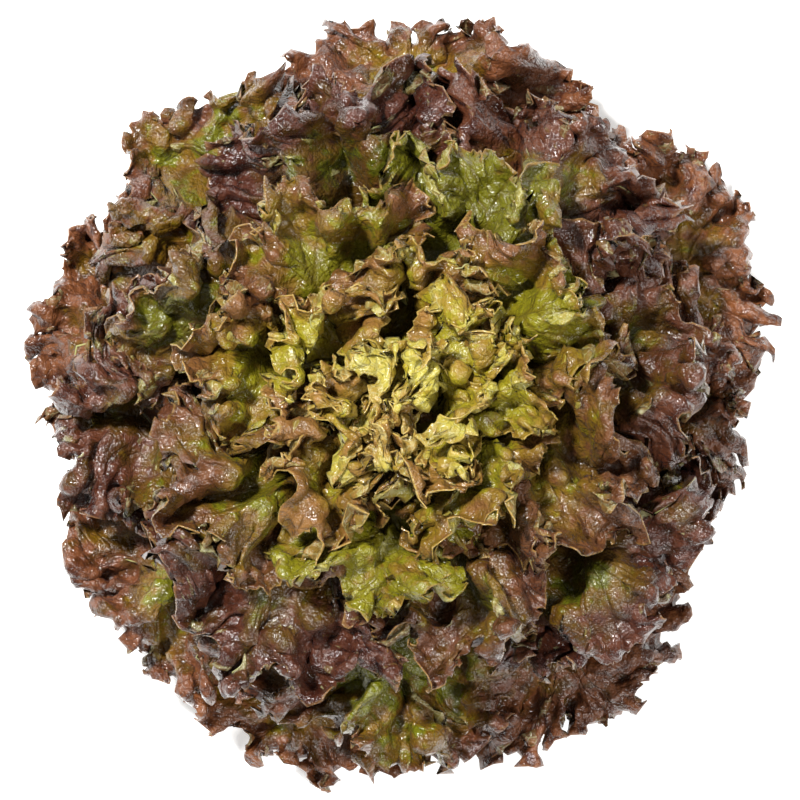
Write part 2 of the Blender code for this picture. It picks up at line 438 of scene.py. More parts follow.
class LeafForm:
    """One leaf's form: where it grows and how its margin runs."""

    shape = LeafOutline()
    outline_samples = 1441
    least_spacing = 0.0022
    least_span = 0.008
    greener_range = 0.25

    def __init__(self, number: int, segments: int, head: HeadForm, frill: FrillForm) -> None:
        """Draws the leaf's own numbers, in the order in which the solids draw them.

        The solids draw no further than the undulation's phases; the rest is the fine blade's own.

        Args:
            number: place on the stem, 0 at the outermost leaf.
            segments: crests and troughs along the margin.
            head: form that all leaves share.
            frill: frills, teeth and blisters.
        """
        self.number = number
        self.share = number / (head.leaf_count - 1)
        self.segments = segments
        self.head = head
        self.frill = frill
        draw = np.random.default_rng(head.seed + number)
        jitter = draw.uniform(-head.azimuth_jitter, head.azimuth_jitter)
        self.azimuth = math.radians(head.first_azimuth + number * head.golden_angle + jitter)
        stretch = 1 + draw.uniform(-head.length_variation, head.length_variation)
        self.length = float(between(head.leaf_length, self.share)) * stretch
        self.length *= 1 + head.heart_growth * float(eased(np.array(self.share), 0.8, 1.0))
        self.half_spread = math.radians(float(between(head.half_spread, self.share)))
        signs = np.where(np.arange(segments + 1) % 2, -1.0, 1.0)
        self.crests = signs * draw.uniform(frill.smallest_crest, 1.0, segments + 1)
        crest_shift = draw.uniform(-frill.crest_jitter, frill.crest_jitter, segments + 1)
        crest_shift[[0, -1]] = 0.0
        self.lobes = 1 + draw.uniform(-frill.lobe_depth, frill.lobe_depth, segments + 1)
        self.phases = draw.uniform(0, 2 * math.pi, len(frill.undulation_waves))
        self.own_phases = draw.uniform(0, 2 * math.pi, 8)
        self.crest_places = (np.arange(segments + 1) + crest_shift) / segments
        self.turns = np.linspace(-math.pi, math.pi, self.outline_samples)
        sideways, along = self.outline(self.turns)
        margin = head.on_layer(self.number, along, sideways)
        steps = np.linalg.norm(np.diff(margin, axis=0), axis=1)
        self.walked = np.concatenate([[0.0], np.cumsum(steps)])
        foot = head.on_layer(self.number, self.vein_foot(self.turns), 0.0 * self.turns)
        self.spans = np.maximum(np.linalg.norm(margin - foot, axis=1), self.least_span)
        above = head.on_layer(self.number + 0.5, along, sideways)
        below = head.on_layer(self.number - 0.5, along, sideways)
        self.spacings = np.maximum(np.linalg.norm(above - below, axis=1), self.least_spacing)
        self.greener = draw.uniform(-self.greener_range, self.greener_range)
        middle = np.linspace(0.3, 0.7, 9) * segments
        points, _, normals = self.frame_at(middle, np.full(9, 0.25))
        self.upper = math.copysign(1.0, float(np.sum(normals * up_and_in(points))))

    def outline(self, turn: Array) -> tuple[Array, Array]:
        """Reads the outline of the leaf.

        Args:
            turn: -pi at the left of the base, 0 at the tip, pi at the right of the base.

        Returns:
            Angle about the stem to each side of the midrib, and distance up the leaf.
        """
        widest_at = self.shape.widest_at
        blade = self.half_spread * np.sin(turn)
        foot = math.radians(self.head.base_half_spread)
        wide = np.abs(np.sin(turn)) ** self.shape.petiole_narrowing
        narrow = foot + (self.half_spread - foot) * wide
        below = np.abs(turn) > math.pi / 2
        sideways = np.where(below, np.sign(turn) * narrow, blade)
        above = widest_at + (1 - widest_at) * np.cos(turn)
        along = np.where(below, widest_at * (1 + np.cos(turn)), above) * self.length
        return sideways, along

    def vein_foot(self, turn: Array) -> Array:
        """Distance up the midrib at which the vein to that part of the margin branches off."""
        share = (1 + np.cos(turn)) / 2
        return self.shape.midrib_reach * self.length * share**self.shape.vein_sweep

    def turn_at(self, crest: Array) -> Array:
        """Turn of the outline at a crest number, which need not be whole."""
        place = np.interp(crest, np.arange(self.segments + 1), self.crest_places)
        return np.interp(place * self.walked[-1], self.walked, self.turns)

    def wave(self, crest: Array, values: Array) -> Array:
        """Runs through one value for each crest in smooth half waves."""
        first = np.clip(np.floor(crest).astype(int), 0, self.segments - 1)
        share = (1 - np.cos(np.pi * (crest - first))) / 2
        return values[first] * (1 - share) + values[first + 1] * share

    def teeth(self, crest: Array) -> Array:
        """Depth of the cuts between the round lobes and between the small teeth, in metres."""
        frill, phases = self.frill, self.own_phases
        scallop = crest * frill.scallops + frill.scallop_wander * np.sin(1.7 * crest + phases[0])
        tooth = crest * frill.teeth + frill.tooth_wander * np.sin(2.6 * crest + phases[1])
        depth = between(frill.scallop_depth, self.share)
        depth = depth * (0.7 + 0.4 * np.sin(0.8 * crest + phases[2]))
        cut = depth * (1 - np.abs(np.sin(math.pi * scallop))) ** frill.scallop_roundness
        return cut + between(frill.tooth_depth, self.share) * np.abs(np.sin(math.pi * tooth))

    def sheet(self, crest: Array, row: Array) -> Array:
        """Finds a point of the leaf with its large frills, before ruffles and blisters.

        Args:
            crest: crest number of the vein that the point is on.
            row: share of the way from the midrib to the margin.

        Returns:
            The point, in metres.
        """
        frill = self.frill
        rise = np.maximum(0.0, (row - frill.start) / (1 - frill.start)) ** frill.growth
        bent = crest + frill.ridge_bend * np.sin(0.85 * crest + self.own_phases[5]) * row**2
        value = self.wave(np.clip(bent, 0, self.segments), self.crests)
        overhang = between(frill.overhang, self.share) * rise**frill.steepness
        shifted = crest + overhang / math.pi * np.sin(2 * math.pi * bent)
        turn = self.turn_at(np.clip(shifted, 0, self.segments))
        own_turn = self.turn_at(crest)
        reach = self.wave(crest, self.lobes)
        reach = reach + frill.large_lobe_depth * np.sin(frill.large_lobes * own_turn + self.phases[0])
        span = np.interp(own_turn, self.turns, self.spans)
        reach = reach - self.teeth(crest) / span * eased(row, frill.teeth_from, 1.0)
        out = row * (1 + (reach - 1) * row)
        sideways, along = self.outline(turn)
        foot = self.vein_foot(turn)
        sideways = sideways * out
        along = foot + (along - foot) * out
        free = eased(along / self.length, *frill.free_from)
        side = np.abs(np.sin(turn))
        at_tip, at_side = between(frill.at_tip, self.share), between(frill.at_side, self.share)
        height = at_tip + (at_side - at_tip) * side
        one_layer = np.interp(turn, self.turns, self.spacings)
        swell = sum(
            np.sin(waves * turn + phase)
            for waves, phase in zip(frill.undulation_waves, self.phases)
        )
        swell = between(frill.undulation_layers, self.share) * swell / len(self.phases) * row**2
        slow = 2 * math.pi * crest / frill.slow_length + self.own_phases[6]
        slow = np.sin(slow + frill.slow_wander * np.sin(0.37 * crest))
        slow = between(frill.slow_height, self.share) * slow * eased(row, *frill.slow_reach)
        whole = room(self.head.on_layer(self.number, along, self.azimuth + sideways), frill.whole_at)
        layer = self.number + (height * rise * value + slow) / one_layer * free * whole + swell
        roll = np.interp(self.share, *zip(*frill.roll_layers))
        layer = layer - roll * rise**frill.roll_growth * free
        along = along + frill.lean * rise * value * free * self.length
        layer = self.head.folded(layer, along, self.azimuth + sideways)
        points = self.head.on_layer(layer, along, self.azimuth + sideways)
        return self.head.swayed(points)

    def reach_up(self, crest: Array, row: Array) -> Array:
        """Share of the way up the leaf from its base to its tip."""
        turn = self.turn_at(crest)
        _, along = self.outline(turn)
        foot = self.vein_foot(turn)
        return (foot + (along - foot) * row) / self.length

    def frame_at(self, crest: Array, row: Array) -> tuple[Array, Array, Array]:
        """Finds points of the sheet with the directions there.

        Args:
            crest: crest numbers.
            row: shares of the way to the margin.

        Returns:
            The points, the unit directions along the margin, and the unit normals.
        """
        step, gap = 0.02, 0.004
        points = self.sheet(crest, row)
        along = self.sheet(crest + step, row) - self.sheet(crest - step, row)
        outward = self.sheet(crest, row + gap) - self.sheet(crest, row - gap)
        side = np.sign(crest - self.segments / 2)
        at_midrib = row < 0.01
        along = np.where(at_midrib[..., None], self.midrib_along(crest, side), along)
        normals = np.cross(along, outward)
        normals /= np.maximum(np.linalg.norm(normals, axis=-1, keepdims=True), 1e-12)
        along /= np.maximum(np.linalg.norm(along, axis=-1, keepdims=True), 1e-12)
        return points, along, normals

    def midrib_along(self, crest: Array, side: Array) -> Array:
        """Direction up the midrib, turned as the margin runs on that side."""
        turn = self.turn_at(crest)
        along = self.vein_foot(turn)
        zero = np.zeros_like(along)
        here = self.head.on_layer(self.number + zero, along, self.azimuth + zero)
        ahead = self.head.on_layer(self.number + zero, along + 1e-4, self.azimuth + zero)
        return (ahead - here) * np.where(side > 0, -1.0, 1.0)[..., None]

    def place(self, crest: Array, row: Array) -> tuple[Array, Array]:
        """Finds points of the finished middle surface.

        Args:
            crest: crest numbers.
            row: shares of the way to the margin.

        Returns:
            The points and the unit normals of the sheet that they were raised from.
        """
        frill, phases = self.frill, self.own_phases
        points, along, normals = self.frame_at(crest, row)
        ruffles = float(between(frill.ruffles, self.share))
        angle = 2 * math.pi * ruffles * crest + frill.ruffle_wander * np.sin(0.9 * crest + phases[3])
        amount = eased(row, frill.ruffle_start, 1.0) ** frill.ruffle_growth
        amount = amount * (0.65 + 0.35 * np.sin(0.7 * crest + phases[4]))
        amount = amount * room(points, frill.whole_at)
        lift = amount * between(frill.ruffle_height, self.share) * np.sin(angle)
        shift = amount * between(frill.ruffle_curl, self.share) * np.sin(2 * angle)
        inner = eased(row, *frill.puckered_from)
        blisters = ripples(points, frill.blister_width, 70 + self.number)
        lift = lift + between(frill.blister_height, self.share) * inner * blisters
        crinkles = ripples(points, frill.crinkle_width, 170 + self.number)
        lift = lift + frill.crinkle_height * inner * crinkles
        return points + lift[..., None] * normals + shift[..., None] * along, normals

    def thickness(self, crest: Array, row: Array) -> Array:
        """Thickness there: thick along the midrib near the stem, thinnest at the margin."""
        head, frill = self.head, self.frill
        up = (1 + np.cos(self.turn_at(crest))) / 2
        rib = between(head.rib_thickness, self.share) * (1 - up) ** head.rib_taper
        rib = rib * np.exp(-((row / head.rib_half_width) ** 2))
        blade = float(between(head.blade_thickness, self.share)) * frill.middle_thinning
        blade = blade + (frill.margin_thickness - blade) * eased(row, frill.thinner_from, 1.0)
        return np.maximum(blade, rib)


def signed_volume(mesh: bpy.types.Mesh) -> float:
    """Volume of a closed mesh, negative where its faces point inwards."""
    mesh.calc_loop_triangles()
    points = np.empty(len(mesh.vertices) * 3)
    mesh.vertices.foreach_get("co", points)
    corners = np.empty(len(mesh.loop_triangles) * 3, int)
    mesh.loop_triangles.foreach_get("vertices", corners)
    a, b, c = points.reshape(-1, 3)[corners.reshape(-1, 3)].transpose(1, 0, 2)
    return float(np.einsum("ij,ij->", a, np.cross(b, c))) / 6


@dataclass
class LeafBlade:
    """The fine blade of one leaf, which stands for its solid.

    Args:
        name: name of the solid.
        form: form of the leaf.
        columns: points along the margin for each segment.
    """

    name: str
    form: LeafForm
    columns: int
    lowest_point: float = 0.0006
    crests: list[Array] = field(default_factory=list)
    rows: list[Array] = field(default_factory=list)

    def lines(self) -> list[tuple[Array, Array]]:
        """Lays out the points in rows from the midrib to the margin.

        Returns:
            For each row, the crest number and the index of each point along it, from the left of
            the base round the tip to its right. The midrib's points serve both sides.
        """
        last = self.form.segments
        count = 0
        found = []
        for row, stride in spaced_rows() + [(1.0, 1)]:
            crest = np.arange(0, last * self.columns + 1, stride) / self.columns
            if crest[-1] < last:
                crest = np.append(crest, float(last))
            if row == 0.0:
                crest = crest[crest <= last / 2]
                index = count + np.arange(len(crest))
                both = np.concatenate([crest, last - crest[-2::-1]])
                found.append((both, np.concatenate([index, index[-2::-1]])))
            else:
                found.append((crest, count + np.arange(len(crest))))
            self.crests.append(crest)
            self.rows.append(np.full(len(crest), row))
            count += len(crest)
        return found

    @staticmethod
    def strip(inner: tuple[Array, Array], outer: tuple[Array, Array]) -> list[list[Corner]]:
        """Joins two rows by faces.

        Args:
            inner: crest numbers and indices of the row nearer the midrib.
            outer: the same for the next row.

        Returns:
            Faces, each a list of corners: index, crest number, and 0 for inner or 1 for outer.
        """
        faces = []
        near, far = list(zip(*inner)), list(zip(*outer))
        if len(near) == len(far):
            return [
                [(a[1], a[0], 0), (b[1], b[0], 0), (d[1], d[0], 1), (c[1], c[0], 1)]
                for a, b, c, d in zip(near, near[1:], far, far[1:])
            ]
        i = j = 0
        while i < len(near) - 1 or j < len(far) - 1:
            ahead = near[i + 1][0] if i < len(near) - 1 else math.inf
            beside = far[j + 1][0] if j < len(far) - 1 else math.inf
            here, there = near[i], far[j]
            if ahead <= beside:
                i += 1
                corners = [(here[1], here[0], 0), (near[i][1], near[i][0], 0), (there[1], there[0], 1)]
            else:
                j += 1
                corners = [(here[1], here[0], 0), (far[j][1], far[j][0], 1), (there[1], there[0], 1)]
            faces.append(corners)
        return faces

    def build(self, greener: float, material: bpy.types.Material) -> bpy.types.Object:
        """Makes the blade as a closed thin shell.

        Args:
            greener: 0 for a leaf as red as its age gives, up to about 1 for one with little red.
            material: its finish.

        Returns:
            The blade, at the origin, with its UV map and the values that its finish reads.
        """
        lines = self.lines()
        crest, row = np.concatenate(self.crests), np.concatenate(self.rows)
        values = [line_row[0] for line_row in self.rows]
        points, _ = self.form.place(crest, row)
        faces, corner_uv = [], []
        for k, (inner, outer) in enumerate(zip(lines, lines[1:])):
            for face in self.strip(inner, outer):
                faces.append([corner[0] for corner in face])
                corner_uv += [(corner[1] / self.form.segments, values[k + corner[2]]) for corner in face]
        normals = self.point_normals(points, faces)
        if np.sum(normals * up_and_in(points)) < 0:
            normals = -normals
        half = self.form.thickness(crest, row)[:, None] / 2
        count = len(points)
        rim = [int(line[1][0]) for line in lines] + [int(i) for i in lines[-1][1][1:-1]]
        rim += [int(line[1][-1]) for line in lines[:0:-1]]
        rim_faces = [(a, b, b + count, a + count) for a, b in zip(rim, rim[1:] + rim[:1])]
        under = [[i + count for i in face[::-1]] for face in faces]
        all_points = np.concatenate([points + normals * half, points - normals * half])
        all_points[:, 2] = np.maximum(all_points[:, 2], self.lowest_point)
        mesh = bpy.data.meshes.new(self.name)
        mesh.from_pydata(all_points.tolist(), [], faces + under + rim_faces)
        mesh.update()
        mesh.materials.append(material)
        under_uv, at = [], 0
        for face in faces:
            under_uv += corner_uv[at : at + len(face)][::-1]
            at += len(face)
        place_uv = dict(zip([i for face in faces for i in face], corner_uv))
        rim_uv = [place_uv[i % count] for face in rim_faces for i in face]
        layer = mesh.uv_layers.new(name="blade")
        layer.data.foreach_set("uv", np.array(corner_uv + under_uv + rim_uv, np.float32).ravel())
        own_values = {
            "age": self.form.share,
            "greener": greener,
            "upper": np.repeat([1.0, 0.0], count),
            "reach": np.tile(self.form.reach_up(crest, row), 2),
            "crests": self.form.segments,
        }
        for name, data in own_values.items():
            attribute = mesh.attributes.new(name, "FLOAT", "POINT")
            attribute.data.foreach_set("value", (np.zeros(2 * count) + data).astype(np.float32))
        smooth = np.ones(len(mesh.polygons), bool)
        smooth[len(faces) * 2 :] = False
        mesh.polygons.foreach_set("use_smooth", smooth)
        if signed_volume(mesh) < 0:
            mesh.flip_normals()
        return add_object(f"{self.name}_blade", mesh)

    @staticmethod
    def point_normals(points: Array, faces: list[list[int]]) -> Array:
        """Normals of a sheet at its points, weighted by the area of the faces round each."""
        normals = np.zeros_like(points)
        for size in (3, 4):
            chosen = np.array([face for face in faces if len(face) == size])
            if not len(chosen):
                continue
            first, third = points[chosen[:, 0]], points[chosen[:, 2]]
            second, fourth = points[chosen[:, 1]], points[chosen[:, size - 1]]
            cross = np.cross(third - first, fourth - second)
            for corner in range(size):
                np.add.at(normals, chosen[:, corner], cross)
        return normals / np.maximum(np.linalg.norm(normals, axis=1, keepdims=True), 1e-12)


def add_object(name: str, data: bpy.types.ID) -> bpy.types.Object:
    """Puts a mesh, lamp or camera in the scene, at the origin."""
    thing = bpy.data.objects.new(name, data)
    bpy.context.scene.collection.objects.link(thing)
    return thing


def fill(tree: bpy.types.NodeTree, node: bpy.types.Node, inputs: Inputs) -> None:
    """Sets or links inputs of a node.

    Args:
        tree: tree that the node is in.
        node: node that gets them.
        inputs: values, sockets or nodes, in order, or by the name or place of the input. A node
            stands for its first output in use.
    """
    pairs = inputs.items() if isinstance(inputs, dict) else enumerate(inputs)
    for name, value in pairs:
        if isinstance(value, bpy.types.Node):
            value = next(output for output in value.outputs if output.enabled)
        if isinstance(value, bpy.types.NodeSocket):
            tree.links.new(value, node.inputs[name])
        else:
            node.inputs[name].default_value = value


def add_node(
    tree: bpy.types.NodeTree, kind: str, inputs: Inputs = (), **settings: object
) -> bpy.types.Node:
    """Adds a node with its settings and links.

    Args:
        tree: tree that it joins.
        kind: full type of the node.
        inputs: what fill gives its inputs.
        settings: attributes of the node.

    Returns:
        The node.
    """
    node = tree.nodes.new(kind)
    for name, value in settings.items():
        setattr(node, name, value)
    fill(tree, node, inputs)
    return node


class NodeForm:
    """A Geometry Nodes tree with named inputs, and its result as a plain mesh."""

    def __init__(self, name: str, sizes: dict[str, tuple[str, object]]) -> None:
        """Starts a tree that takes and gives geometry.

        Args:
            name: name of the tree.
            sizes: for each named input, its socket type, such as Int, and its value.
        """
        self.tree = bpy.data.node_groups.new(name, "GeometryNodeTree")
        sockets = self.tree.interface
        sockets.new_socket("Geometry", in_out="INPUT", socket_type="NodeSocketGeometry")
        sockets.new_socket("Geometry", in_out="OUTPUT", socket_type="NodeSocketGeometry")
        self.settings = {}
        for label, (kind, value) in sizes.items():
            socket = sockets.new_socket(label, in_out="INPUT", socket_type=f"NodeSocket{kind}")
            self.settings[socket.identifier] = value
        self.entry = add_node(self.tree, "NodeGroupInput")

    def add(self, kind: str, inputs: Inputs = ()) -> bpy.types.Node:
        """Adds a node, whose kind is given without the GeometryNode that it starts with."""
        return add_node(self.tree, f"GeometryNode{kind}", inputs)

    def finish(self, geometry: bpy.types.Node, material: bpy.types.Material) -> None:
        """Ends the tree: smooth, real geometry with its material."""
        smooth = self.add("SetShadeSmooth", {"Geometry": geometry})
        real = self.add("RealizeInstances", {"Geometry": smooth})
        dressed = self.add("SetMaterial", {"Geometry": real, "Material": material})
        add_node(self.tree, "NodeGroupOutput", (dressed,))

    def run(self, name: str, base: bpy.types.Mesh) -> bpy.types.Object:
        """Applies the tree to a mesh.

        Args:
            name: name of the new object.
            base: mesh that the tree starts from.

        Returns:
            An object with the result as a plain mesh.
        """
        carrier = add_object(f"{name}_base", base)
        modifier = carrier.modifiers.new("form", "NODES")
        modifier.node_group = self.tree
        for identifier, value in self.settings.items():
            modifier[identifier] = value
        graph = bpy.context.evaluated_depsgraph_get()
        mesh = bpy.data.meshes.new_from_object(carrier.evaluated_get(graph), depsgraph=graph)
        carrier.modifiers.remove(modifier)
        bpy.data.objects.remove(carrier)
        mesh.name = name
        return add_object(name, mesh)


@dataclass
class VeinWork:
    """Midribs and side veins, raised along the blades of one tier. Radii are in metres.

    Args:
        name: name of the piece.
        forms: leaves whose veins are made.
    """

    name: str
    forms: list[LeafForm]
    profile_sides: int = 5
    midrib_steps: int = 2
    vein_every: int = 2
    first_vein: int = 6
    midrib_share_of_rib: float = 0.62
    midrib_taper: float = 1.6
    midrib_end_radius: float = 0.00035
    vein_radius: Limits = (0.00062, 0.00036, 1.0)
    vein_end_radius: float = 0.00018
    vein_reach: float = 0.84
    sunk: float = 0.60

    def midrib(self, form: LeafForm) -> tuple[Array, Array]:
        """Path of a midrib with its radii, just under the blade's middle surface."""
        crest = np.arange(form.segments // 2 * self.midrib_steps + 1) / self.midrib_steps
        thick = float(between(form.head.rib_thickness, form.share)) * self.midrib_share_of_rib
        thinner = (1 - crest / crest[-1]) ** self.midrib_taper
        radius = self.midrib_end_radius + (thick - self.midrib_end_radius) * thinner
        return self.under(form, crest, np.zeros_like(crest), radius), radius

    def side_vein(self, form: LeafForm, crest: float) -> tuple[Array, Array]:
        """Path of a side vein with its radii, from the midrib towards a crest of the margin."""
        row = np.array([row for row, _ in spaced_rows() if row < self.vein_reach])
        start = float(between(self.vein_radius, form.share))
        radius = self.vein_end_radius + (start - self.vein_end_radius) * (1 - row / self.vein_reach)
        return self.under(form, np.full_like(row, crest), row, radius), radius

    def under(self, form: LeafForm, crest: Array, row: Array, radius: Array) -> Array:
        """Points on the blade's own lines, sunk towards its underside so that only that shows them."""
        points, normals = form.place(crest, row)
        return points - form.upper * normals * (radius * self.sunk)[:, None]

    def paths(self) -> list[tuple[Array, Array]]:
        """Paths of all the midribs and side veins of the tier, with their radii."""
        found = []
        for form in self.forms:
            found.append(self.midrib(form))
            last = form.segments - self.first_vein
            for crest in range(self.first_vein, last + 1, self.vein_every):
                if crest != form.segments // 2:
                    found.append(self.side_vein(form, float(crest)))
        return found

    def build(self, material: bpy.types.Material) -> bpy.types.Object:
        """Makes the veins.

        Args:
            material: their finish.

        Returns:
            One piece with all the veins of the tier.
        """
        paths = self.paths()
        points = np.concatenate([path for path, _ in paths])
        edges, start = [], 0
        for path, _ in paths:
            edges += [(start + i, start + i + 1) for i in range(len(path) - 1)]
            start += len(path)
        base = bpy.data.meshes.new(f"{self.name}_paths")
        base.from_pydata(points.tolist(), edges, [])
        radii = base.attributes.new("vein_radius", "FLOAT", "POINT")
        radii.data.foreach_set("value", np.concatenate([r for _, r in paths]).astype(np.float32))
        form = NodeForm("raised_veins", {"Profile Sides": ("Int", self.profile_sides)})
        curve = form.add("MeshToCurve", {"Mesh": form.entry.outputs["Geometry"]})
        sides = form.entry.outputs["Profile Sides"]
        profile = form.add("CurvePrimitiveCircle", {"Resolution": sides, "Radius": 1.0})
        radius = form.add("InputNamedAttribute", {"Name": "vein_radius"})
        sweep = {"Curve": curve, "Profile Curve": profile, "Scale": radius, "Fill Caps": True}
        form.finish(form.add("CurveToMesh", sweep), material)
        return form.run(self.name, base)


@dataclass
class CutStem:
    """The stem: its cut face, the scars of leaves taken off, and the core inside the head.

    Args:
        head: form that the leaves share.
    """

    head: HeadForm
    cut_radius: float = 0.0130
    cut_bevel: float = 0.0012
    around: int = 96
    face_rings: int = 8
    flare_rings: int = 12
    core_rings: int = 20
    scars: int = 7
    scar_height: float = 0.0009
    scar_width: float = 0.0016
    scar_levels: tuple[float, float] = (0.0074, -0.0007)
    scar_droop: float = 0.0012
    scar_half_turn: float = 0.9
    unevenness: float = 0.03
    unevenness_width: float = 0.012

    def profile(self) -> list[tuple[float, float]]:
        """Radii and heights from the middle of the cut to the tip, in metres."""
        head, bevel = self.head, self.cut_bevel
        flat = self.cut_radius - bevel
        points = [(flat * i / self.face_rings, 0.0) for i in range(self.face_rings + 1)]
        angles = (0.5, 1.0, math.pi / 2)
        points += [(flat + bevel * math.sin(angle), bevel * (1 - math.cos(angle))) for angle in angles]
        for i in range(1, self.flare_rings + 1):
            share = i / self.flare_rings
            flare = math.sin(share * math.pi / 2)
            radius = self.cut_radius + (head.stem_widest_radius - self.cut_radius) * flare
            points.append((radius, bevel + (head.stem_widest_height - bevel) * share))
        rise = head.stem_tip_height - head.stem_widest_height
        for i in range(1, self.core_rings + 1):
            height = head.stem_widest_height + rise * i / self.core_rings
            points.append((float(head.stem_radius(height)), height))
        points.append((0.0, head.stem_tip_height + head.stem_tip_radius / 2))
        return points

    def rings(self, profile: list[tuple[float, float]]) -> Array:
        """Points round the stem for each place on its profile, with the scars and unevenness."""
        turn = np.arange(self.around) * 2 * math.pi / self.around
        radii = np.array([r for r, _ in profile])[:, None] + 0 * turn
        heights = np.array([z for _, z in profile])[:, None] + 0 * turn
        side = eased(heights, 0.0, 0.003)
        highest, step = self.scar_levels
        for scar in range(self.scars):
            middle = math.radians(self.head.first_azimuth - (scar + 1) * self.head.golden_angle)
            away = np.abs((turn - middle + math.pi) % (2 * math.pi) - math.pi)
            level = highest + step * scar + self.scar_droop * away**2
            line = np.exp(-(((heights - level) / self.scar_width) ** 2))
            radii = radii + self.scar_height * line * eased(self.scar_half_turn - away, 0.0, 0.3) * side
        points = np.stack([radii * np.cos(turn), radii * np.sin(turn), heights], axis=-1)
        uneven = 1 + self.unevenness * side * ripples(points, self.unevenness_width, 5)
        return points * np.stack([uneven, uneven, np.ones_like(uneven)], axis=-1)

    def build(self, material: bpy.types.Material) -> bpy.types.Object:
        """Makes the stem.

        Args:
            material: its finish.

        Returns:
            The stem as one closed solid.
        """
        profile = self.profile()
        rings = self.rings(profile[1:-1])
        places = [(0.0, 0.0, 0.0)] + rings.reshape(-1, 3).tolist() + [(0.0, 0.0, profile[-1][1])]
        n, last = self.around, len(places) - 1
        faces = [(0, 1 + (i + 1) % n, 1 + i) for i in range(n)]
        for ring in range(len(rings) - 1):
            low, high = 1 + ring * n, 1 + (ring + 1) * n
            faces += [(low + i, low + (i + 1) % n, high + (i + 1) % n, high + i) for i in range(n)]
        top = last - n
        faces += [(top + i, top + (i + 1) % n, last) for i in range(n)]
        mesh = bpy.data.meshes.new("cut_stem")
        mesh.from_pydata(places, [], faces)
        mesh.shade_smooth()
        if signed_volume(mesh) < 0:
            mesh.flip_normals()
        mesh.materials.append(material)
        return add_object("cut_stem", mesh)


def hex_colour(value: str) -> tuple[float, float, float, float]:
    """Turns an sRGB hex value into a linear colour.

    Args:
        value: six hex digits, such as "a8ae42".

    Returns:
        Red, green, blue and an alpha of 1.
    """
    parts = [int(value[i : i + 2], 16) / 255 for i in (0, 2, 4)]
    linear = [p / 12.92 if p <= 0.04045 else ((p + 0.055) / 1.055) ** 2.4 for p in parts]
    return (*linear, 1.0)


class Shader:
    """A material with its node tree."""

    def __init__(self, name: str) -> None:
        """Starts a material with its Principled shader.

        Args:
            name: name of the material.
        """
        self.material = bpy.data.materials.new(name)
        self.material.use_nodes = True
        self.tree = self.material.node_tree

    def add(self, kind: str, inputs: Inputs = (), **settings: object) -> bpy.types.Node:
        """Adds a node, whose kind is given without the ShaderNode that it starts with."""
        return add_node(self.tree, f"ShaderNode{kind}", inputs, **settings)

    def maths(self, operation: str, *inputs: object) -> bpy.types.Node:
        """Adds a node that works out one value from others."""
        return self.add("Math", inputs, operation=operation)

    def mix(self, share: object, under: object, over: object) -> bpy.types.Node:
        """Adds a colour between two others, with that share of the second."""
        return self.add("Mix", {0: share, 6: under, 7: over}, data_type="RGBA")

    def spread(self, *inputs: object) -> bpy.types.Node:
        """Adds an eased change of a value, between two of its values, from one result to another."""
        return self.add("MapRange", inputs, interpolation_type="SMOOTHSTEP")

    def noise(self, place: object, width: float, detail: float = 2.0) -> bpy.types.Node:
        """Adds a noise with spots of about that width, in metres."""
        return self.add("TexNoise", {"Vector": place, "Scale": 1 / width, "Detail": detail})

    def finish(self, inputs: Inputs) -> bpy.types.Material:
        """Gives the Principled shader its inputs, and returns the material."""
        fill(self.tree, self.tree.nodes["Principled BSDF"], inputs)
        return self.material


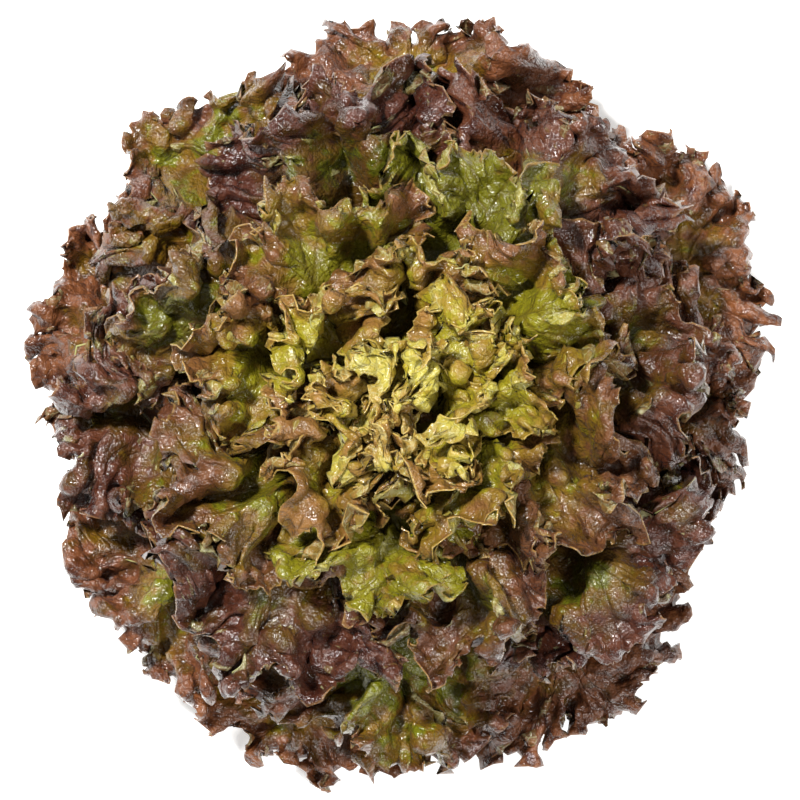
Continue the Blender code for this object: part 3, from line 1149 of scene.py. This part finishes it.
@dataclass(frozen=True)
class BladeFinish:
    """Fresh lettuce blade: a thin wet leaf, red pigment in its skin over green flesh.

    The skin is satin with a film of water, so light catches on every small fold. Pigment covers
    the old outer leaves almost to the midrib and only the margins of the young ones, in blotches.
    Each tuple of colours runs from the outermost leaf to the innermost, at the ages given. Widths
    are in metres: blotches of 24 mm, a mottle of 6 mm, creases of 9.5 mm and wrinkles of 3.2 mm
    between the veins, a net of small veins 4.2 mm apart, and a grain of 1 mm, drawn coarser than
    the leaf's own so that it shows.
    """

    ages: tuple[float, ...] = (0.0, 0.35, 0.62, 1.0)
    flesh: tuple[str, ...] = ("848216", "4e500e", "767014", "9a8c20")
    bronze: tuple[str, ...] = ("906c12", "58400e", "7a6018", "967e28")
    pigment: tuple[str, ...] = ("7c4a28", "4e281a", "704826", "987232")
    dark: tuple[str, ...] = ("2c0d0c", "2a0c08", "44200c", "7c5824")
    # Painted highlight: these pale tones along the very edge of each blade stand for light caught by the
    # thin, translucent margin.
    margin: tuple[str, ...] = ("94684c", "886238", "a07e3e", "c4ac5c")
    underside: tuple[str, ...] = ("7e7040", "7c7034", "948a38", "b4a848")
    petiole: str = "c9cc9a"
    noises: tuple[tuple[str, float, float], ...] = (
        ("blotch", 0.024, 3.0),
        ("mottle", 0.0060, 4.0),
        ("crease", 0.0095, 2.0),
        ("wrinkle", 0.0032, 3.0),
        ("grain", 0.0010, 2.0),
    )
    net_width: float = 0.0042
    vein_width: float = 0.0007
    crest_width: float = 0.0090
    redness: Weights = (("age", -0.61), ("blotch", 2.1), ("mottle", 1.5), ("greener", -0.75))
    redness_offset: float = -1.48
    folds: Weights = (("crease", 4.0), ("wrinkle", 2.2))
    fine_relief: Weights = (("grain", 0.35), ("net_line", -0.15), ("vein_line", -0.45))
    relief_depth: float = 0.0010
    roughness: tuple[float, float] = (0.20, 0.44)
    water: float = 1.0
    water_roughness: float = 0.10
    sheen: float = 0.03
    sheen_tint: str = "b8a6b4"

    def surface_values(self, shader: Shader) -> Parts:
        """Adds the nodes that read the blade's place, UV map, own values and noises.

        Args:
            shader: material being made.

        Returns:
            Each value by its name.
        """
        place = shader.add("TexCoord").outputs["Object"]
        across = shader.add("SeparateXYZ", (shader.add("UVMap", uv_map="blade"),))
        found = {"place": place, "margin_share": across.outputs["X"], "row": across.outputs["Y"]}
        for name in ("age", "greener", "upper", "reach", "crests"):
            found[name] = shader.add("Attribute", attribute_name=name).outputs["Fac"]
        for name, width, detail in self.noises:
            found[name] = shader.noise(place, width, detail)
        return found

    def add_lines(self, shader: Shader, found: Parts) -> None:
        """Adds the net of small veins and the veins that run out to the crests.

        Args:
            shader: material being made.
            found: values by name, to which net_line and vein_line are added.
        """
        net = {"Vector": found["place"], "Scale": 1 / self.net_width}
        net = shader.add("TexVoronoi", net, feature="DISTANCE_TO_EDGE").outputs["Distance"]
        found["net_line"] = shader.spread(net, 0.0, 0.10, 1.0, 0.0)
        crest = shader.maths("MULTIPLY", found["margin_share"], found["crests"])
        crest = shader.maths("MULTIPLY_ADD", found["crease"], 0.5, crest)
        crest = shader.maths("SUBTRACT", crest, 0.25)
        away = shader.maths("PINGPONG", crest, 1.0)
        spread = shader.maths("MULTIPLY", found["row"], self.crest_width)
        away = shader.maths("MULTIPLY", away, spread)
        line = shader.spread(away, 0.0, self.vein_width, 1.0, 0.0)
        inside = shader.spread(found["row"], 0.65, 0.92, 1.0, 0.0)
        found["vein_line"] = shader.maths("MULTIPLY", line, inside)

    def colour(self, shader: Shader, found: Parts) -> bpy.types.Node:
        """Adds the colour: green flesh, bronze and red pigment, veins, underside, petiole, and a painted
        highlight along the rim.

        Args:
            shader: material being made.
            found: values by name.

        Returns:
            The node that gives it.
        """
        tones = {}
        for name in ("flesh", "bronze", "pigment", "dark", "margin", "underside"):
            tones[name] = shader.add("ValToRGB", (found["age"],))
            stops = tones[name].color_ramp.elements
            while len(stops) < len(self.ages):
                stops.new(0.5)
            for stop, age, colour in zip(stops, self.ages, getattr(self, name)):
                stop.position, stop.color = age, hex_colour(colour)
        redness = found["row"]
        for name, weight in self.redness:
            redness = shader.maths("MULTIPLY_ADD", found[name], weight, redness)
        redness = shader.maths("ADD", redness, self.redness_offset)
        spreads = {
            "bronzed": (redness, -0.05, 0.35, 0.0, 1.0),
            "pigmented": (redness, 0.35, 0.95, 0.0, 1.0),
            "mottled": (found["mottle"], 0.60, 0.36, 0.0, 0.75),
            "mottle_kept": (redness, 0.1, 0.6, 0.0, 1.0),
            "red_through": (redness, 0.1, 0.9, 0.25, 0.8),
            "upper": (found["upper"], 0.0, 1.0, 0.0, 1.0),
            "petiole": (found["reach"], 0.04, 0.30, 0.85, 0.0),
            # rim: painted highlight, the last sliver of the blade at the margin lightened for light caught
            # by the thin edge
            "rim": (found["row"], 0.98, 1.0, 0.0, 0.6),
        }
        share = {name: shader.spread(*inputs) for name, inputs in spreads.items()}
        mottled = shader.maths("MULTIPLY", share["mottled"], share["mottle_kept"])
        net = shader.maths("MULTIPLY", found["net_line"], 0.30)
        vein = shader.maths("MULTIPLY", found["vein_line"], 0.42)
        lines = shader.maths("MAXIMUM", net, vein)
        pale_lines = shader.maths("MULTIPLY", lines, 0.8)
        petiole = hex_colour(self.petiole)
        skin = tones["flesh"]
        for amount, over in (
            (share["bronzed"], tones["bronze"]),
            (share["pigmented"], tones["pigment"]),
            (mottled, tones["dark"]),
            (lines, tones["dark"]),
        ):
            skin = shader.mix(amount, skin, over)
        below = shader.mix(share["red_through"], tones["underside"], skin)
        below = shader.mix(pale_lines, below, petiole)
        skin = shader.mix(share["upper"], below, skin)
        skin = shader.mix(share["petiole"], skin, petiole)
        # Painted highlight: the pale margin tones laid over the rim stand for light caught by the thin,
        # translucent edge.
        return shader.mix(share["rim"], skin, tones["margin"])

    def relief(self, shader: Shader, found: Parts) -> bpy.types.Node:
        """Adds the bump: creases and wrinkles between sunk veins, and a fine grain.

        Args:
            shader: material being made.
            found: values by name.

        Returns:
            The node that gives it.
        """
        height = 0.0
        for name, weight in self.folds:
            fold = shader.maths("SUBTRACT", found[name], 0.5)
            fold = shader.maths("ABSOLUTE", fold)
            height = shader.maths("MULTIPLY_ADD", fold, weight, height)
        for name, weight in self.fine_relief:
            height = shader.maths("MULTIPLY_ADD", found[name], weight, height)
        return shader.add("Bump", {"Strength": 0.8, "Distance": self.relief_depth, "Height": height})

    def build(self) -> bpy.types.Material:
        """Makes the material.

        Returns:
            The material, which reads the blade's UV map and its values age, greener, upper, reach
            and crests.
        """
        shader = Shader("fresh_lettuce_blade")
        found = self.surface_values(shader)
        self.add_lines(shader, found)
        relief = self.relief(shader, found)
        return shader.finish({
            "Base Color": self.colour(shader, found),
            "Roughness": shader.spread(found["mottle"], 0.3, 0.7, *self.roughness),
            "Normal": relief,
            "IOR": 1.42,
            "Coat Weight": self.water,
            "Coat Roughness": self.water_roughness,
            "Coat IOR": 1.33,
            "Coat Normal": relief,
            "Sheen Weight": self.sheen,
            "Sheen Roughness": 0.4,
            "Sheen Tint": hex_colour(self.sheen_tint),
        })


@dataclass(frozen=True)
class RibFinish:
    """Lettuce rib: firm, wet, pale green-white flesh with fine grooves along it.

    Red pigment tints it in blotches, so a rib shows as a paler line in the blade.
    """

    flesh: str = "a3a468"
    tinted: str = "7a5e4a"
    blotch_width: float = 0.012
    groove_width: float = 0.0011
    groove_depth: float = 0.0004
    roughness: float = 0.3

    def build(self) -> bpy.types.Material:
        """Makes the material."""
        shader = Shader("wet_lettuce_rib")
        place = shader.add("TexCoord").outputs["Object"]
        blotch = shader.noise(place, self.blotch_width)
        groove = shader.noise(place, self.groove_width)
        share = shader.add("MapRange", (blotch, 0.4, 0.62))
        flesh, tinted = hex_colour(self.flesh), hex_colour(self.tinted)
        grooves = {"Strength": 0.3, "Distance": self.groove_depth, "Height": groove}
        return shader.finish({
            "Base Color": shader.mix(share, flesh, tinted),
            "Normal": shader.add("Bump", grooves),
            "Roughness": self.roughness,
        })


@dataclass(frozen=True)
class StemFinish:
    """Cut lettuce stem: pale flesh under a thin green skin, knife-cut across.

    The cut has dried: its ring of vessels and its rim are rust brown, with cream pith between.
    """

    pith: str = "d9cfa6"
    rust: str = "9a6236"
    skin: str = "b7bb86"
    skin_dark: str = "8d9455"
    ring_radius: float = 0.0094
    ring_width: float = 0.0009
    rim_radius: float = 0.0118
    rim_width: float = 0.001
    skin_from: tuple[float, float] = (0.0008, 0.0022)
    fibre_width: float = 0.0016
    unevenness: float = 0.0022
    roughness: float = 0.48

    def build(self) -> bpy.types.Material:
        """Makes the material, whose rings are centred on the stem's axis."""
        shader = Shader("knife_cut_lettuce_stem")
        place = shader.add("TexCoord").outputs["Object"]
        x, y, z = shader.add("SeparateXYZ", (place,)).outputs
        radius = shader.add("VectorMath", (shader.add("CombineXYZ", (x, y, 0.0)),), operation="LENGTH")
        noise = shader.noise(place, self.fibre_width, 3.0)
        uneven = shader.maths("MULTIPLY_ADD", noise, self.unevenness, -self.unevenness / 2)
        reach = shader.maths("ADD", radius, uneven)
        off_ring = shader.maths("SUBTRACT", reach, self.ring_radius)
        off_ring = shader.maths("ABSOLUTE", off_ring)
        ring = shader.add("MapRange", (off_ring, 0.0, self.ring_width, 0.7, 0.0))
        rim = shader.add("MapRange", (reach, self.rim_radius - self.rim_width, self.rim_radius, 0.0, 0.8))
        rust = shader.maths("MAXIMUM", ring, rim)
        colours = {name: hex_colour(getattr(self, name)) for name in ("pith", "rust", "skin", "skin_dark")}
        face = shader.mix(rust, colours["pith"], colours["rust"])
        skin = shader.mix(noise, colours["skin"], colours["skin_dark"])
        height = shader.add("MapRange", (z, *self.skin_from))
        return shader.finish({
            "Base Color": shader.mix(height, face, skin),
            "Normal": shader.add("Bump", {"Strength": 0.5, "Distance": 0.0006, "Height": noise}),
            "Roughness": self.roughness,
        })


@dataclass(frozen=True)
class SoftLight:
    """A soft square light that faces the head.

    Args:
        name: name of the light.
        place: where it stands, in metres.
        side: side of the square, in metres.
        power: power in watts.
    """

    name: str
    place: tuple[float, float, float]
    side: float
    power: float

    def build(self) -> None:
        """Adds the light to the scene."""
        data = bpy.data.lights.new(self.name, "AREA")
        data.size = self.side
        data.energy = self.power
        lamp = add_object(self.name, data)
        lamp.location = self.place
        lamp.rotation_euler = Vector(self.place).to_track_quat("Z", "Y").to_euler()


@dataclass
class Studio:
    """Plain pale floor, soft light and the camera straight above. Sizes are in metres.

    Args:
        camera_height: height of the camera over the floor.
        frame_width: width of the picture at the height of the frills.
        frame_height: that height.
    """

    camera_height: float = 1.30
    frame_width: float = 0.303
    frame_height: float = 0.045
    sensor_width_mm: float = 36.0
    floor_half_side: float = 9.0
    floor_colour: str = "f4f4f2"
    floor_glow: float = 0.50
    surrounding_light: float = 0.24
    lights: tuple[SoftLight, ...] = (
        SoftLight("key_light", (-0.56, 0.58, 1.36), 0.17, 41.0),
        SoftLight("fill_light", (0.70, -0.60, 1.20), 0.5, 14.0),
    )

    def floor(self) -> None:
        """Lays the floor under the head: white board, matt, evenly lit."""
        mesh = bpy.data.meshes.new("floor")
        side = self.floor_half_side
        corners = [(-side, -side, 0), (side, -side, 0), (side, side, 0), (-side, side, 0)]
        mesh.from_pydata(corners, [], [(0, 1, 2, 3)])
        floor = add_object("floor", mesh)
        mesh.materials.append(Shader("matt_white_board").finish({
            "Base Color": hex_colour(self.floor_colour),
            "Roughness": 0.9,
            "Emission Color": (1.0, 1.0, 1.0, 1.0),
            "Emission Strength": self.floor_glow,
        }))

    def camera(self) -> None:
        """Sets the camera straight above, its picture upright with +Y."""
        data = bpy.data.cameras.new("camera")
        data.sensor_width = self.sensor_width_mm
        data.lens = self.sensor_width_mm * (self.camera_height - self.frame_height) / self.frame_width
        data.clip_start = 0.05
        camera = add_object("camera", data)
        camera.location = (0.0, 0.0, self.camera_height)
        bpy.context.scene.camera = camera

    def build(self) -> None:
        """Sets up floor, light and camera."""
        scene = bpy.context.scene
        scene.view_settings.view_transform = "Standard"
        scene.world = bpy.data.worlds.new("soft_white")
        scene.world.use_nodes = True
        background = scene.world.node_tree.nodes["Background"]
        fill(scene.world.node_tree, background, ((1.0, 1.0, 1.0, 1.0), self.surrounding_light))
        self.floor()
        for light in self.lights:
            light.build()
        self.camera()


@dataclass
class LettuceHead:
    """The whole head: the stem, the three tiers of leaves with their veins, and the bud.

    Args:
        head: form that all leaves share.
        frill: frills, teeth and blisters.
        bud: the smallest leaves, still rolled up inside the heart.
    """

    head: HeadForm = HeadForm()
    frill: FrillForm = FrillForm()
    bud: TierPlan = TierPlan(leaves=5, segments=16, columns=20)

    def dress(self, piece: bpy.types.Object, node: str = "") -> bpy.types.Object:
        """Puts a piece on the part's body, in the place of a solid where it has one.

        Args:
            piece: finished piece.
            node: solid that it replaces, if any.

        Returns:
            The piece.
        """
        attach(piece, BODY)
        if node:
            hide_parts(node)
        return piece

    def build(self) -> Iterator[bpy.types.Object]:
        """Makes the head piece by piece.

        Yields:
            Each piece, once it is dressed.
        """
        skin, rib = BladeFinish().build(), RibFinish().build()
        yield self.dress(CutStem(self.head).build(StemFinish().build()), "stem")
        number = 0
        for tier, plan in TIERS.items():
            slot = f"{tier.value}_leaf"
            forms = []
            for place in range(plan.leaves):
                form = LeafForm(number, plan.segments, self.head, self.frill)
                node = f"{slot}_{place + 1:02d}"
                leaf = LeafBlade(node, form, plan.columns)
                greener = GREENER_LEAVES.get(number, form.greener)
                yield self.dress(leaf.build(greener, skin), node)
                forms.append(form)
                number += 1
            if tier is Tier.HEART:
                yield from self.build_bud(number, skin)
            yield self.dress(VeinWork(f"{slot}_veins", forms).build(rib))

    def build_bud(self, first: int, skin: bpy.types.Material) -> Iterator[bpy.types.Object]:
        """Makes the leaves of the bud, the first of which has the number given."""
        for place in range(self.bud.leaves):
            form = LeafForm(first + place, self.bud.segments, self.head, self.frill)
            leaf = LeafBlade(f"bud_leaf_{place + 1:02d}", form, self.bud.columns)
            yield self.dress(leaf.build(form.greener, skin))


def main() -> None:
    """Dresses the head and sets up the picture."""
    logging.basicConfig(level=logging.INFO, format="%(name)s: %(message)s")
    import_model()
    for piece in LettuceHead().build():
        LOG.info("%s: %d faces", piece.name, len(piece.data.polygons))
    Studio().build()
    LOG.info("studio: floor, lights and camera")


if __name__ == "__main__":
    main()
